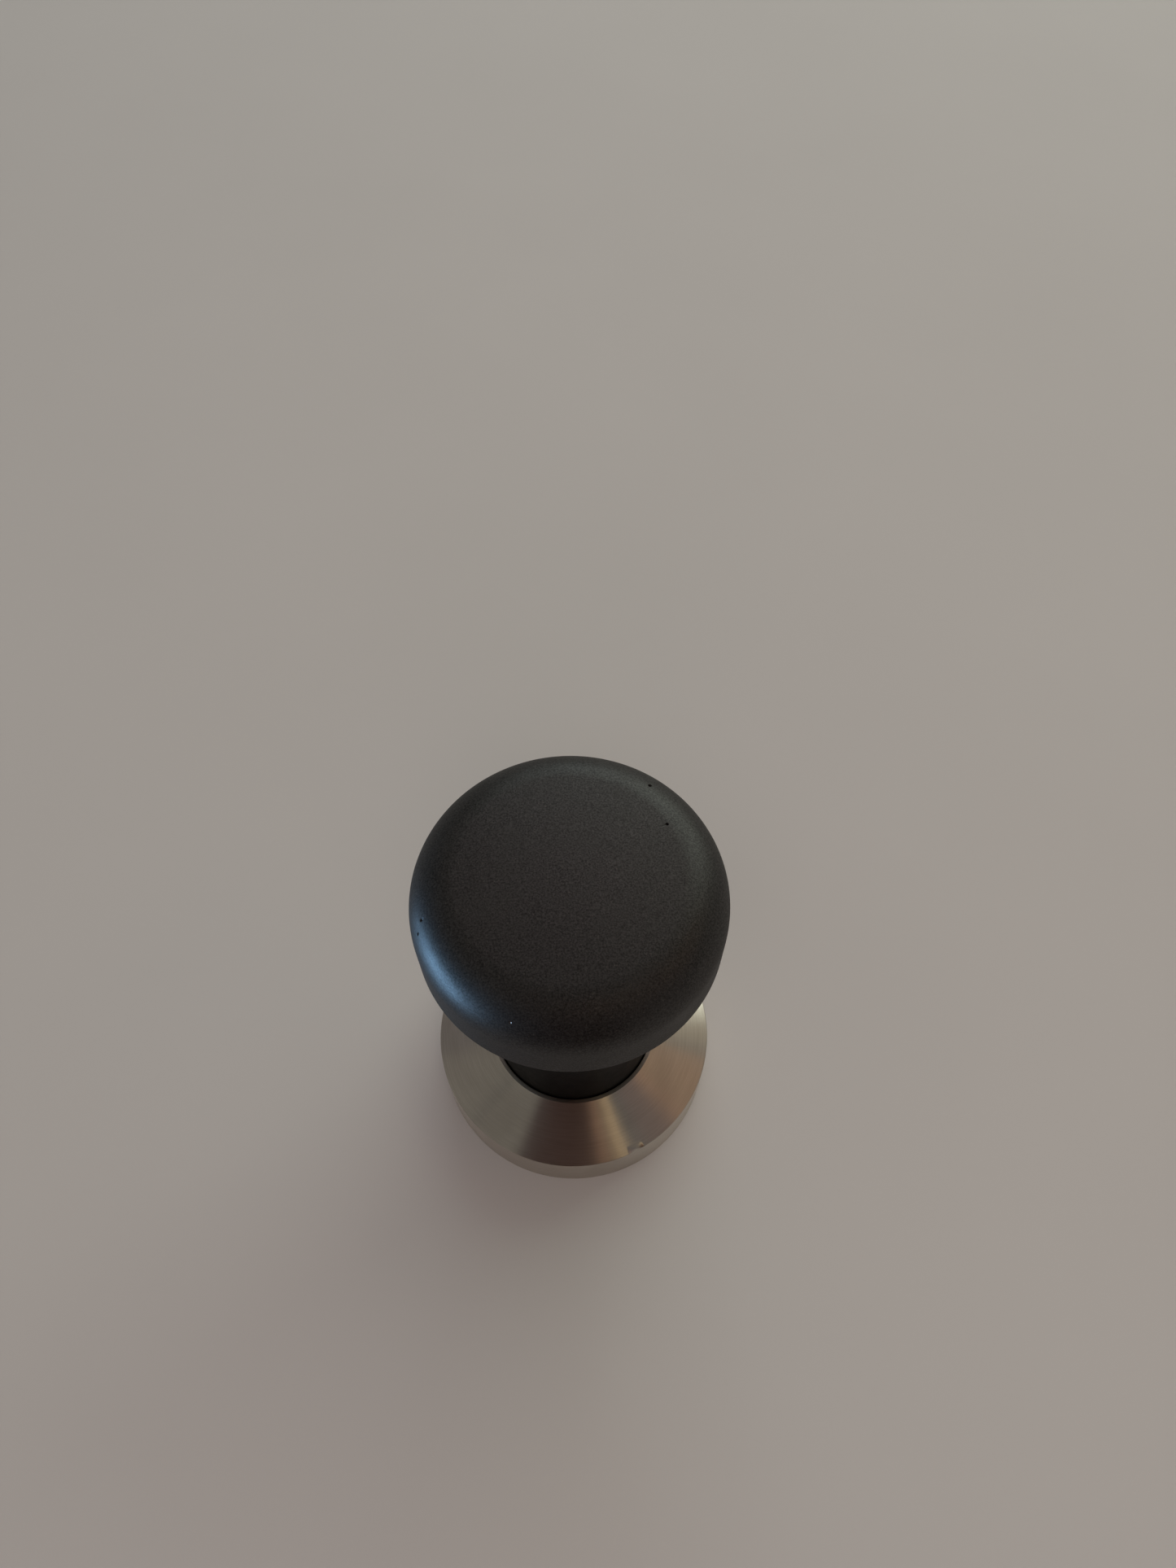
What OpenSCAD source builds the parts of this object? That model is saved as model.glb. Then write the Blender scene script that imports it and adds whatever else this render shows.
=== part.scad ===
// Espresso tamper with a sprung handle: steel base, sliding neck and wide palm knob.
// Millimetres, +Z up. The origin is the centre of the tamping face.
// Threads are plain cylinders at their nominal diameters.

/* [Base] */
// Diameter of the tamping face and of the upright rim
base_d = 58; // [57.4:0.1:58.6]
// Height of the upright rim, up to the foot of the cone
rim_h = 12; // [11:0.5:13]
// Height of the flat land at the top of the cone
land_z = 17.4; // [17.4:0.1:18.4]
// Outer diameter of the flat land round the neck
land_d = 35; // [34.6:0.1:36]
// Chamfer round the tamping face
face_chamfer = 0.5; // [0.2:0.1:0.8]

/* [Neck] */
// Outer diameter of the neck sleeve
neck_d = 32.9; // [32.6:0.1:33]
// Bore of the neck sleeve, which holds the spring
neck_bore_d = 26; // [25.6:0.2:26.2]

/* [Knob] */
// Diameter of the knob across its upright side
knob_d = 53.6; // [52:0.2:56]
// Height of the crown above the tamping face
knob_top_z = 89.2; // [88.6:0.2:91]
// Height of the knob's lower edge
knob_bottom_z = 70.6; // [69.6:0.2:71]
// Radius of the large rounded upper edge
knob_edge_r = 9.5; // [8:0.5:10]
// Radius of the shallow crown
crown_r = 160; // [120:10:300]
// Radius of the hollow that runs from the knob's underside into its collar
underside_r = 7.6; // [6:0.2:7.6]

/* [Mechanism] */
// How far the handle goes down before the neck meets its buffer
press_travel = 2.5; // [1.5:0.1:2.6]
// Diameter of the post that the handle slides on
post_d = 10; // [9.6:0.1:10.4]
// Diameter of the spring wire
wire_d = 2.6; // [2.2:0.1:2.7]
// Outer diameter of the spring
spring_d = 23; // [22.6:0.2:24]
// Turns of the spring, with one closed turn at each end
spring_turns = 9; // [7:1:9]

/* [Hidden] */

$fn = 128;
cut = 1;               // how far a cutting shape runs past the face it opens
run_gap = 0.05;        // clearance of a running fit and of faces that turn on each other
loose_gap = 0.1;       // clearance of washers on their shafts and of rings in their grooves
slide_gap = 0.25;      // radial clearance of the neck in its socket
thread_gap = 0.05;     // radial clearance of a modelled thread
edge = 0.3;            // small broken edge
fine_edge = 0.15;      // broken edge of washers and rings
ring_sides = 32;       // sides of small round sections and small holes

base_r = base_d / 2;
land_r = land_d / 2;
neck_r = neck_d / 2;
neck_bore_r = neck_bore_d / 2;
knob_r = knob_d / 2;
post_r = post_d / 2;

// Socket in the base: a trench round a central boss
trench_z = 5;
socket_r = neck_r + slide_gap;
boss_r = 11;
boss_z = 10;
stud_r = 4;
stud_hole_z = 2.5;

// Wiper ring in the mouth of the socket
wiper_r = 0.8;
wiper_z = 15.3;
wiper_centre_r = neck_r + run_gap + wiper_r;

// Neck sleeve
buffer_h = 1.4;
foot_z = trench_z + buffer_h + press_travel + loose_gap;
sleeve_thread_r = 15;
shoulder_z = 61;
sleeve_top_z = 72;
nut_thread_r = 13.5;
nut_thread_z = 53;
wear_h = 3;
wear_lip = 0.9;
wear_z = foot_z + wear_lip;
wear_depth = 0.8;
wear_split = 1;

// Stack on the post, from the boss up
hex_flats = 17;
hex_h = 3.5;
hex_z = boss_z + hex_h;
thrust_h = 0.8;
seat_plate_h = 1.5;
seat_collar_h = 2.2;
lower_seat_z = hex_z + thrust_h + run_gap;
spring_z0 = lower_seat_z + seat_plate_h;
upper_seat_z = nut_thread_z + 1;
seat_r = 12.4;
spring_r = spring_d / 2;
wire_r = wire_d / 2;
coil_r = spring_r - wire_r;
seat_collar_gap = 0.4;
seat_collar_r = spring_r - wire_d - seat_collar_gap;
nut_z = upper_seat_z + seat_plate_h;
nut_h = 4.5;
lock_ring_h = 2.2;
lock_ring_r = 10;
spanner_hole_r = 1.25;
spanner_centre_r = 11.7;
spanner_slot_w = 2;
bush_r = 7;
bush_flange_r = 9;
bush_flange_h = 1.9;
bush_flange_z = nut_z + nut_h;
rebound_z = bush_flange_z + bush_flange_h;
rebound_h = 1.05;
post_top_z = rebound_z + rebound_h + run_gap;

// Screw and washers on top of the post
screw_r = 2.5;
screw_head_r = 4.25;
screw_head_h = 5;
screw_hole_depth = 12;
screw_l = 11;
screw_flats = 4;
screw_socket_depth = 2.5;
washer_h = 1.6;
lock_washer_h = 1.2;
lock_washer_split = 0.6;
lock_washer_slant = 30;
screw_head_z = post_top_z + washer_h + lock_washer_h;

// Knob
edge_centre_r = knob_r - knob_edge_r;
crown_centre_z = knob_top_z - crown_r;
edge_centre_z = crown_centre_z
    + sqrt(pow(crown_r - knob_edge_r, 2) - pow(edge_centre_r, 2));
crown_edge_r = crown_r * edge_centre_r / (crown_r - knob_edge_r);
collar_r = 17.2;
chamber_r = 9;
chamber_z = 76;
thread_end_gap = 0.3;
seal_r = 0.55;
seal_centre_r = sleeve_thread_r + seal_r + loose_gap;
seal_z = shoulder_z + seal_r + loose_gap;
grub_r = 1.5;
grub_l = 2.8;
grub_z = 67.4;
grub_flats = 1.5;
grub_socket_depth = 1.4;

// Spring
wire_sides = 8;
turn_steps = 16;
closed_gap = 0.1;
closed_pitch = wire_d + closed_gap;
end_lift = 0.1;
open_pitch = (upper_seat_z - spring_z0 - 2 * end_lift - 2 * closed_pitch)
    / (spring_turns - 2);

// Ring with a rectangular section and broken outer edges
module ring(r_in, r_out, z, h, c = fine_edge) {
    rotate_extrude()
        polygon([
            [r_in, z], [r_out - c, z], [r_out, z + c],
            [r_out, z + h - c], [r_out - c, z + h], [r_in, z + h]
        ]);
}

// Round bar along Z with chamfered ends
module bar(r, z, h, c = 0.4) {
    rotate_extrude()
        polygon([
            [0, z], [r - c, z], [r, z + c],
            [r, z + h - c], [r - c, z + h], [0, z + h]
        ]);
}

// Rubber ring with a round section
module o_ring(centre_r, section_r, z) {
    rotate_extrude()
        translate([centre_r, z])
            circle(r = section_r, $fn = ring_sides);
}

// Hexagon prism by its width across flats
module hexagon(flats, z, h) {
    translate([0, 0, z])
        cylinder(d = flats / cos(30), h = h, $fn = 6);
}

module base() {
    color("silver")
        difference() {
            rotate_extrude($fn = 192)
                polygon([
                    [0, 0], [base_r - face_chamfer, 0], [base_r, face_chamfer],
                    [base_r, rim_h - fine_edge], [base_r - fine_edge, rim_h],
                    [land_r, land_z], [socket_r + fine_edge, land_z],
                    [socket_r, land_z - fine_edge], [socket_r, trench_z],
                    [boss_r, trench_z], [boss_r, boss_z - edge],
                    [boss_r - edge, boss_z], [0, boss_z]
                ]);
            wiper_groove();
            translate([0, 0, stud_hole_z])
                cylinder(r = stud_r, h = boss_z);
        }
}

module wiper_groove() {
    groove_h = 2 * wiper_r + loose_gap;
    groove_r = wiper_centre_r + wiper_r + loose_gap;
    rotate_extrude()
        translate([neck_r, wiper_z - groove_h / 2])
            square([groove_r - neck_r, groove_h]);
}

module post() {
    stud_end_gap = 0.5;
    color("lightsteelblue")
        difference() {
            union() {
                bar(stud_r - thread_gap, stud_hole_z + stud_end_gap, boss_z - stud_hole_z);
                hexagon(hex_flats, boss_z, hex_h);
                bar(post_r, hex_z - cut, post_top_z - hex_z + cut);
            }
            translate([0, 0, post_top_z - screw_hole_depth])
                cylinder(r = screw_r, h = screw_hole_depth + cut, $fn = 48);
        }
}

module thrust_washer() {
    color("ivory")
        ring(post_r + loose_gap, hex_flats / 2 - loose_gap, hex_z, thrust_h);
}

module bump_ring() {
    color("dimgray")
        ring(boss_r + 4 * loose_gap, neck_r - loose_gap, trench_z, buffer_h);
}

module wiper_ring() {
    color("black")
        o_ring(wiper_centre_r, wiper_r, wiper_z);
}

module retaining_washer() {
    color("lightgray")
        ring(screw_r + loose_gap, bush_flange_r, post_top_z, washer_h);
}

module lock_washer() {
    color("gray")
        difference() {
            ring(screw_r + loose_gap, screw_head_r, post_top_z + washer_h, lock_washer_h);
            translate([screw_r, 0, post_top_z + washer_h + lock_washer_h / 2])
                rotate([lock_washer_slant, 0, 0])
                    cube([screw_head_r, lock_washer_split, 3 * lock_washer_h], center = true);
        }
}

module retaining_screw() {
    tip_z = post_top_z - screw_l;
    socket_z = screw_head_z + screw_head_h - screw_socket_depth;
    color("dimgray")
        difference() {
            union() {
                bar(screw_r - thread_gap, tip_z, screw_head_z + cut - tip_z, edge);
                bar(screw_head_r, screw_head_z, screw_head_h);
            }
            hexagon(screw_flats, socket_z, screw_socket_depth + cut);
        }
}

module spring_seat_lower() {
    bore_r = post_r + loose_gap;
    color("lightgray")
        union() {
            ring(bore_r, seat_r, lower_seat_z, seat_plate_h);
            ring(bore_r, seat_collar_r, lower_seat_z, seat_plate_h + seat_collar_h);
        }
}

// Height of the wire's centre after t turns
function wire_height(t) =
    let (top_turn = spring_turns - 1)
    end_lift + closed_pitch * min(t, 1)
    + open_pitch * max(0, min(t, top_turn) - 1)
    + closed_pitch * max(0, t - top_turn);

// A point on the wire's surface, held inside the ground end faces
function wire_point(t, side) =
    let (
        r = coil_r + wire_r * cos(side * 360 / wire_sides),
        z = spring_z0 + wire_height(t) + wire_r * sin(side * 360 / wire_sides)
    )
    [r * cos(360 * t), r * sin(360 * t), max(spring_z0, min(upper_seat_z, z))];

module spring() {
    steps = spring_turns * turn_steps;
    points = [
        for (i = [0 : steps], s = [0 : wire_sides - 1])
            wire_point(i / turn_steps, s)
    ];
    sides = [
        for (i = [0 : steps - 1], s = [0 : wire_sides - 1])
            let (
                a = i * wire_sides + s,
                b = i * wire_sides + (s + 1) % wire_sides
            )
            each [[a, a + wire_sides, b], [b, a + wire_sides, b + wire_sides]]
    ];
    first_end = [for (s = [0 : wire_sides - 1]) s];
    last_end = [for (s = [wire_sides - 1 : -1 : 0]) steps * wire_sides + s];
    color("slategray")
        polyhedron(points, concat([first_end], sides, [last_end]), convexity = 12);
}

module spring_seat_upper() {
    bore_r = bush_r + 2 * loose_gap;
    collar_z = upper_seat_z - seat_collar_h;
    color("lightgray")
        union() {
            ring(bore_r, seat_r, upper_seat_z, seat_plate_h);
            ring(bore_r, seat_collar_r, collar_z, seat_plate_h + seat_collar_h);
        }
}

module preload_nut() {
    color("silver")
        difference() {
            ring(bush_r + thread_gap, nut_thread_r - thread_gap, nut_z, nut_h, edge);
            for (a = [0 : 90 : 270])
                rotate([0, 0, a])
                    translate([spanner_centre_r, 0, nut_z - cut])
                        cylinder(r = spanner_hole_r, h = nut_h + 2 * cut, $fn = ring_sides);
        }
}

module preload_lock_ring() {
    slot_l = 3;
    color("silver")
        difference() {
            ring(lock_ring_r, nut_thread_r - thread_gap, bush_flange_z, lock_ring_h, edge);
            for (a = [0 : 90 : 270])
                rotate([0, 0, a])
                    translate([lock_ring_r, 0, bush_flange_z + lock_ring_h])
                        cube([slot_l, spanner_slot_w, lock_ring_h], center = true);
        }
}

module guide_bush() {
    barrel_h = 10;
    color("goldenrod")
        union() {
            ring(post_r + run_gap, bush_r, bush_flange_z - barrel_h, barrel_h + bush_flange_h);
            ring(post_r + run_gap, bush_flange_r, bush_flange_z, bush_flange_h);
        }
}

module rebound_washer() {
    color("black")
        ring(post_r + loose_gap, bush_flange_r - 2 * loose_gap, rebound_z, rebound_h);
}

module neck_sleeve() {
    color([0.07, 0.07, 0.07])
        difference() {
            rotate_extrude()
                polygon([
                    [neck_bore_r, foot_z], [neck_r - edge, foot_z], [neck_r, foot_z + edge],
                    [neck_r, shoulder_z - edge], [neck_r - edge, shoulder_z],
                    [sleeve_thread_r, shoulder_z], [sleeve_thread_r, sleeve_top_z - edge],
                    [sleeve_thread_r - edge, sleeve_top_z], [nut_thread_r, sleeve_top_z],
                    [nut_thread_r, nut_thread_z], [neck_bore_r, nut_thread_z]
                ]);
            rotate_extrude()
                translate([neck_r - wear_depth, wear_z - run_gap])
                    square([wear_depth + cut, wear_h + 2 * run_gap]);
        }
}

module wear_ring() {
    color("ivory")
        difference() {
            ring(neck_r - wear_depth + run_gap, socket_r - run_gap, wear_z, wear_h);
            translate([neck_r, 0, wear_z + wear_h / 2])
                cube([4 * wear_depth, wear_split, 2 * wear_h], center = true);
        }
}

// Half section of the knob's outside: crown, rounded edge, upright side and collar
module knob_outline() {
    overlap = 2;
    difference() {
        union() {
            translate([0, knob_bottom_z])
                square([knob_r, edge_centre_z - knob_bottom_z]);
            translate([0, shoulder_z])
                square([collar_r + underside_r, knob_bottom_z - shoulder_z]);
            intersection() {
                translate([edge_centre_r, edge_centre_z])
                    circle(r = knob_edge_r, $fn = 128);
                translate([edge_centre_r, edge_centre_z - overlap])
                    square(knob_edge_r + overlap);
            }
            intersection() {
                translate([0, crown_centre_z])
                    circle(r = crown_r, $fn = 720);
                translate([0, edge_centre_z - overlap])
                    square([crown_edge_r, knob_top_z - edge_centre_z + overlap]);
            }
        }
        translate([collar_r + underside_r, knob_bottom_z - underside_r])
            circle(r = underside_r, $fn = 96);
        translate([collar_r, shoulder_z - cut])
            square([underside_r + cut, knob_bottom_z - underside_r - shoulder_z + cut]);
    }
}

module knob() {
    thread_top_z = sleeve_top_z + thread_end_gap;
    seal_top_z = seal_z + seal_r + loose_gap;
    mouth_z = shoulder_z - cut;
    color([0.16, 0.16, 0.15])
        difference() {
            rotate_extrude($fn = 192)
                knob_outline();
            translate([0, 0, mouth_z])
                cylinder(r = sleeve_thread_r + thread_gap, h = thread_top_z - mouth_z);
            translate([0, 0, mouth_z])
                cylinder(r = seal_centre_r + seal_r + loose_gap, h = seal_top_z - mouth_z);
            cylinder(r = chamber_r, h = chamber_z);
            translate([0, sleeve_thread_r - cut, grub_z])
                rotate([-90, 0, 0])
                    cylinder(r = grub_r, h = knob_r, $fn = ring_sides);
        }
}

module knob_seal_ring() {
    color("black")
        o_ring(seal_centre_r, seal_r, seal_z);
}

module knob_lock_screw() {
    color("dimgray")
        translate([0, sleeve_thread_r + 2 * thread_gap, grub_z])
            rotate([-90, 0, 0])
                difference() {
                    bar(grub_r - thread_gap, 0, grub_l, edge);
                    hexagon(grub_flats, grub_l - grub_socket_depth, grub_socket_depth + cut);
                }
}

base();
post();
thrust_washer();
bump_ring();
wiper_ring();
retaining_washer();
lock_washer();
retaining_screw();
spring_seat_lower();
spring();
spring_seat_upper();
preload_nut();
preload_lock_ring();
guide_bush();
rebound_washer();
neck_sleeve();
wear_ring();
knob();
knob_seal_ring();
knob_lock_screw();
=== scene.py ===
"""Espresso tamper: detailed pieces, finishes, floor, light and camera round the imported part.

Metres, +Z up, -Y towards the user, origin in the middle of the tamping face.
An azimuth is in degrees round the tamper: 0 is in front (-Y), 90 is on the right (+X).
"""

import math

import bmesh
import bpy
import numpy as np
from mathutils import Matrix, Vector


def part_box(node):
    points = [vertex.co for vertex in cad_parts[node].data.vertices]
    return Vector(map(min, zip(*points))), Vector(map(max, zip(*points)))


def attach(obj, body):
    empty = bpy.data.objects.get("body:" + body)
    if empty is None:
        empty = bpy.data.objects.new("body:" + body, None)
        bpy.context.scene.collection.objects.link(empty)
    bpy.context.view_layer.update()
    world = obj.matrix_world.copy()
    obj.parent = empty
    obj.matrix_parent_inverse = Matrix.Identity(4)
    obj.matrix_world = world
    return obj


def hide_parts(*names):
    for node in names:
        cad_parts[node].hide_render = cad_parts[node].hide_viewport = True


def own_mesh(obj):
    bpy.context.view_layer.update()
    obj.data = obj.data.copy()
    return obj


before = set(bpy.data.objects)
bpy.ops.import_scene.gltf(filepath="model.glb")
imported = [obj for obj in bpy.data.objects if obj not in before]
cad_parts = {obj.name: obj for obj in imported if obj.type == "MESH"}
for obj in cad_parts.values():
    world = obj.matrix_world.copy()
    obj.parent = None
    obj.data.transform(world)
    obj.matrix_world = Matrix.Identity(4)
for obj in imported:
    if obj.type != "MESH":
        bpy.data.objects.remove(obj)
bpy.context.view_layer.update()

MM = 0.001
TURN = 2 * math.pi

# Driving sizes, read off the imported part; R is a radius, Z a height above the table
BASE_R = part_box("base")[1].x
LAND_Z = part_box("base")[1].z
NECK_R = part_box("neck_sleeve")[1].x
FOOT_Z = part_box("neck_sleeve")[0].z
SLEEVE_TOP_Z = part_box("neck_sleeve")[1].z
KNOB_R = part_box("knob")[1].x
COLLAR_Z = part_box("knob")[0].z
CROWN_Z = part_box("knob")[1].z
POST_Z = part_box("post")[0].z
POST_TOP_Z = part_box("post")[1].z
SPRING_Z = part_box("spring")[0].z
SPRING_TOP_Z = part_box("spring")[1].z
SPRING_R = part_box("spring")[1].x
SCREW_TOP_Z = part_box("retaining_screw")[1].z
SCREW_TIP_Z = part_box("retaining_screw")[0].z
SCREW_HEAD_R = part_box("retaining_screw")[1].x
GRUB_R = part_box("knob_lock_screw")[1].x
GRUB_FROM_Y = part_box("knob_lock_screw")[0].y
GRUB_TO_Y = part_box("knob_lock_screw")[1].y
WIPER_Z = (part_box("wiper_ring")[0].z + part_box("wiper_ring")[1].z) / 2
WEAR_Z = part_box("wear_ring")[0].z
WEAR_TOP_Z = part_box("wear_ring")[1].z

# Sizes that a box doesn't give, the same as the part's
RIM_H = 12 * MM
LAND_R = 17.5 * MM
SOCKET_R = NECK_R + 0.25 * MM
SOCKET_Z = 5 * MM
WIPER_GROOVE_R = 18.2 * MM
WIPER_GROOVE_HALF = 0.85 * MM
BOSS_R = 11 * MM
BOSS_Z = 10 * MM
STUD_R = 4 * MM
STUD_HOLE_Z = 2.5 * MM
SLEEVE_BORE_R = 13 * MM
WEAR_GROOVE_R = NECK_R - 0.8 * MM
NUT_THREAD_R = 13.5 * MM
NUT_THREAD_Z = 53 * MM
KNOB_THREAD_R = 15 * MM
KNOB_LOW_Z = 70.6 * MM
KNOB_EDGE_R = 9.5 * MM
CROWN_R = 160 * MM
UNDERSIDE_R = 7.6 * MM
COLLAR_R = 17.2 * MM
SEAL_POCKET_R = 16.3 * MM
SEAL_POCKET_Z = 62.3 * MM
CHAMBER_R = 9 * MM
CHAMBER_Z = 76 * MM
CHAMBER_FLOOR_Z = SLEEVE_TOP_Z + 0.3 * MM
GRUB_Z = 67.4 * MM
GRUB_HOLE_R = 1.5 * MM
GRUB_HOLE_FROM_Y = 12 * MM
GRUB_HOLE_TO_Y = 20 * MM
WIRE_R = 1.3 * MM
TURNS = 9
THREAD_GAP = 0.05 * MM

# Marks of use
# Pits in the knob's edge: (azimuth, tilt of the surface from level, length round, width, depth)
PITS = [
    (140, 30.3, 0.60 * MM, 0.80 * MM, 0.60 * MM),
    (118, 8.0, 0.55 * MM, 0.50 * MM, 0.45 * MM),
    (-77, 48.4, 0.55 * MM, 0.95 * MM, 0.25 * MM),
    (-73.5, 60.1, 0.50 * MM, 0.80 * MM, 0.25 * MM),
    (-23, 52.4, 0.40 * MM, 0.35 * MM, 0.08 * MM),
    (83.5, 72.7, 0.40 * MM, 0.40 * MM, -0.08 * MM),
]
CHIP = (-9.6 * MM, -22.9 * MM, 84.5 * MM)
CHIP_R = 0.10 * MM
CHIP_FADE_R = 0.18 * MM
NICK_FROM, NICK_TO = 21.5, 28.3  # azimuths, on the edge between rim and cone
NICK_DEPTH, NICK_REACH = 0.36 * MM, 0.7 * MM

# Faces that meet at more than this shade as a sharp edge
SHARP_EDGE = math.radians(35)


# ---------------------------------------------------------------- shapes

def corner(before, here, after, radius, steps=5):
    """Points of the arc that rounds the corner at here."""
    back, ahead = before - here, after - here
    half = back.angle(ahead) / 2
    reach = min(radius / math.tan(half), 0.49 * back.length, 0.49 * ahead.length)
    start, end = here + back.normalized() * reach, here + ahead.normalized() * reach
    middle = here + (back.normalized() + ahead.normalized()).normalized() * reach / math.cos(half)
    first, last = start - middle, end - middle
    turn = first.angle_signed(last)
    spin = math.atan2(first.y, first.x)
    angles = [spin - turn * k / steps for k in range(steps + 1)]
    return [middle + first.length * Vector((math.cos(a), math.sin(a))) for a in angles]


def outline(points, step, hold=0.25 * MM):
    """Closed half section: corners rounded, and long sides divided so that they shade flat.

    A point is (radius, height) with the usual edge, or (radius, height, corner radius)."""
    usual_edge, slight_bend = 0.15 * MM, math.radians(12)
    flat = [Vector(p[:2]) for p in points]
    rounds = [p[2] if len(p) > 2 else usual_edge for p in points]
    line = []
    for i, here in enumerate(flat):
        before, after = flat[i - 1], flat[(i + 1) % len(flat)]
        straight = abs((here - before).angle(after - here)) < slight_bend
        if rounds[i] == 0 or here.x == 0 or straight:
            line.append(here)
        else:
            line += corner(before, here, after, rounds[i])
    full = []
    for i, a in enumerate(line):
        b = line[(i + 1) % len(line)]
        length = (b - a).length
        full.append(a)
        if a.x == 0 and b.x == 0 or length < 3 * hold:
            continue
        parts = max(1, math.ceil((length - 2 * hold) / step))
        stops = [hold + (length - 2 * hold) * k / parts for k in range(parts + 1)]
        full += [a + (b - a) * s / length for s in stops]
    return full


def arc(centre_r, centre_z, radius, start, end, steps, marks=()):
    """Points of an arc in the half section, between two angles in degrees, closer together at marks."""
    stops = [start + (end - start) * k / steps for k in range(steps + 1)]
    low, high = min(start, end), max(start, end)
    for middle in marks:
        stops = [a for a in closer(stops, middle, reach=3.0, step=0.4) if low <= a <= high]
    stops.sort(reverse=start > end)
    turns = [math.radians(a) for a in stops]
    return [(centre_r + radius * math.cos(t), centre_z + radius * math.sin(t), 0) for t in turns]


def spun(line, angles):
    """Vertices and faces of a closed half section turned about Z."""
    n = len(angles)
    rows, verts, faces = [], [], []
    for p in line:
        if p.x == 0:
            rows.append([len(verts)] * n)
            verts.append((0, 0, p.y))
        else:
            rows.append(list(range(len(verts), len(verts) + n)))
            verts += [(p.x * math.cos(a), p.x * math.sin(a), p.y) for a in angles]
    for i, row in enumerate(rows):
        after = rows[(i + 1) % len(rows)]
        if row[0] == row[1] and after[0] == after[1]:
            continue
        for k in range(n):
            m = (k + 1) % n
            ring = [row[k], row[m], after[m], after[k]]
            faces.append([v for j, v in enumerate(ring) if v != ring[j - 1]])
    return np.array(verts), faces


def shade(mesh):
    """Outward faces, smooth except at sharp edges."""
    work = bmesh.new()
    work.from_mesh(mesh)
    bmesh.ops.recalc_face_normals(work, faces=work.faces)
    for e in work.edges:
        e.smooth = len(e.link_faces) < 2 or e.calc_face_angle(0) < SHARP_EDGE
    for f in work.faces:
        f.smooth = True
    work.to_mesh(mesh)
    work.free()


def carve(piece, verts, faces):
    """Cut a solid out of a piece."""
    mesh = bpy.data.meshes.new("cutter")
    mesh.from_pydata([tuple(v) for v in verts], [], faces)
    shade(mesh)
    tool = bpy.data.objects.new("cutter", mesh)
    bpy.context.scene.collection.objects.link(tool)
    cut = piece.modifiers.new("cut", "BOOLEAN")
    cut.operation, cut.solver, cut.object = "DIFFERENCE", "EXACT", tool
    bpy.context.view_layer.update()
    graph = bpy.context.evaluated_depsgraph_get()
    carved = bpy.data.meshes.new_from_object(piece.evaluated_get(graph))
    piece.modifiers.remove(cut)
    piece.data = carved
    bpy.data.objects.remove(tool)
    bpy.data.meshes.remove(mesh)
    shade(carved)


def solid(name, verts, faces):
    """A mesh object with outward faces, smooth except at sharp edges."""
    mesh = bpy.data.meshes.new(name)
    mesh.from_pydata([tuple(v) for v in verts], [], faces)
    shade(mesh)
    piece = bpy.data.objects.new(name, mesh)
    bpy.context.scene.collection.objects.link(piece)
    return piece


def even(count):
    """Angles of that many even steps round the axis."""
    return [TURN * k / count for k in range(count)]


def closer(values, middle, reach, step):
    """The values with those near a middle replaced by more of them, evenly spaced."""
    n = round(reach / step)
    extra = [middle + k * step for k in range(-n, n + 1)]
    return sorted([v for v in values if abs(v - middle) > (n + 0.6) * step] + extra)


def polar(verts):
    """Radius and angle of each vertex about Z."""
    return np.hypot(verts[:, 0], verts[:, 1]), np.arctan2(verts[:, 1], verts[:, 0])


def set_radius(verts, chosen, radius):
    """Move the chosen vertices to a new radius about Z."""
    r, a = polar(verts)
    new = np.where(chosen, radius, r)
    verts[:, 0], verts[:, 1] = new * np.cos(a), new * np.sin(a)


def thread(verts, major, pitch, low, high, slack=0.3 * MM):
    """Turn the plain cylinder of that radius between two heights into a screw thread."""
    r, a = polar(verts)
    depth, slope, flat = 0.55 * pitch, 2.6, 0.15
    chosen = (abs(r - major) < slack) & (verts[:, 2] > low) & (verts[:, 2] < high)
    phase = np.mod(verts[:, 2] / pitch - a / TURN, 1)
    groove = np.clip(slope * abs(phase - 0.5) - flat, 0, 1)
    fade = np.clip(np.minimum(verts[:, 2] - low, high - verts[:, 2]) / pitch, 0, 1)
    set_radius(verts, chosen, r - depth * groove * fade)


def hexagon(verts, flats, low, high, inner, outer):
    """Give the round section between two heights and two radii six flats."""
    r, a = polar(verts)
    chosen = (verts[:, 2] > low) & (verts[:, 2] < high) & (r > inner) & (r < outer)
    across = flats / 2 / np.cos(np.mod(a, TURN / 6) - TURN / 12)
    set_radius(verts, chosen, np.where(r > flats / 2, np.minimum(across, r), across * r * 2 / flats))


# ---------------------------------------------------------------- material nodes

def blank(name):
    """A new material, its nodes, and its shader."""
    finish = bpy.data.materials.new(name)
    finish.use_nodes = True
    return finish, finish.node_tree, finish.node_tree.nodes["Principled BSDF"]


def node(tree, kind, inputs=(), **settings):
    """A node with its settings, and with values or links on its inputs."""
    made = tree.nodes.new(kind)
    for key, value in settings.items():
        setattr(made, key, value)
    for key, value in dict(inputs).items():
        if isinstance(value, bpy.types.NodeSocket):
            tree.links.new(value, made.inputs[key])
        else:
            made.inputs[key].default_value = value
    return made


def place(tree):
    """The point on the piece, in metres."""
    return node(tree, "ShaderNodeTexCoord").outputs["Object"]


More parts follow.
